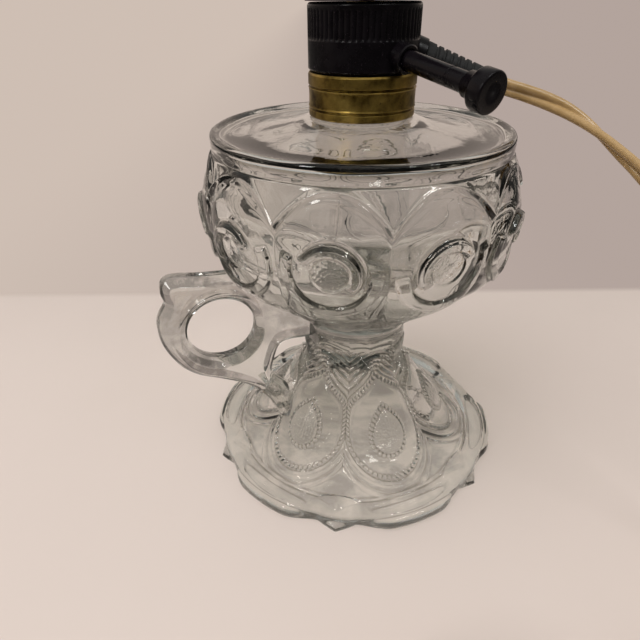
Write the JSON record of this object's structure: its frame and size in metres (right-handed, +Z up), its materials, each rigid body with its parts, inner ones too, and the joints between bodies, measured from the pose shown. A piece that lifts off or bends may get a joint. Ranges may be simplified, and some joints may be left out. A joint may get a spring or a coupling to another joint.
{
  "type": "electrified oil lamp",
  "caption": "Pressed-glass oil lamp with a ring handle, fitted with a screwed-in electric adapter, a turn-knob switch, an open lamp socket and a coiled mains lead.",
  "frame": {"origin": "under the middle of the lamp itself, on the surface it stands on", "axes": "+Z up along the lamp's axis, -X towards the glass handle, -Y towards the knob side"},
  "size_m": [0.1623, 0.2377, 0.205],
  "materials": {
    "clear_glass": "clear pressed glass, fire-polished, faintly grey",
    "aged_brass": "olive-brown tarnished brass with bright worn lips",
    "bright_brass": "stamped brass, lightly tarnished",
    "cement": "old plaster cement, matte",
    "phenolic": "black moulded phenolic, satin",
    "plated_steel": "plated steel",
    "rubber": "matte black rubber",
    "cord_vinyl": "translucent gold-tan vinyl",
    "plug_vinyl": "brown moulded vinyl",
    "tie_plastic": "black paper-backed tie"
  },
  "bodies": {
    "root": {"glass_foot": "clear_glass", "glass_font": "clear_glass", "glass_handle": "clear_glass", "brass_collar": "aged_brass", "collar_cement": "cement", "adapter_base": "phenolic", "switch_housing": "phenolic", "housing_screw_left": "plated_steel", "housing_screw_right": "plated_steel", "knob_bushing": "phenolic", "line_contact": "bright_brass", "lamp_contact": "bright_brass", "shell_strap": "bright_brass", "line_terminal_screw": "plated_steel", "return_terminal_screw": "plated_steel", "line_wire": "rubber", "return_wire": "rubber", "socket_insulator": "phenolic", "centre_contact": "bright_brass", "screw_shell": "bright_brass", "socket_cover": "phenolic", "cord_relief": "rubber", "cord_free": "cord_vinyl", "cord_coil": "cord_vinyl", "cord_tail": "cord_vinyl", "coil_tie": "tie_plastic", "plug_body": "plug_vinyl", "plug_blade_left": "bright_brass", "plug_blade_right": "bright_brass"},
    "knob": {"turn_knob": "phenolic", "switch_spindle": "plated_steel", "switch_rotor": "bright_brass"}
  },
  "joints": [
    {"name": "knob_turn", "type": "hinge", "parent": "root", "child": "knob", "pos_m": [0.00811, 0, 0.15523], "axis": [0.2549, -0.9513, -0.1736], "continuous": true}
  ]
}
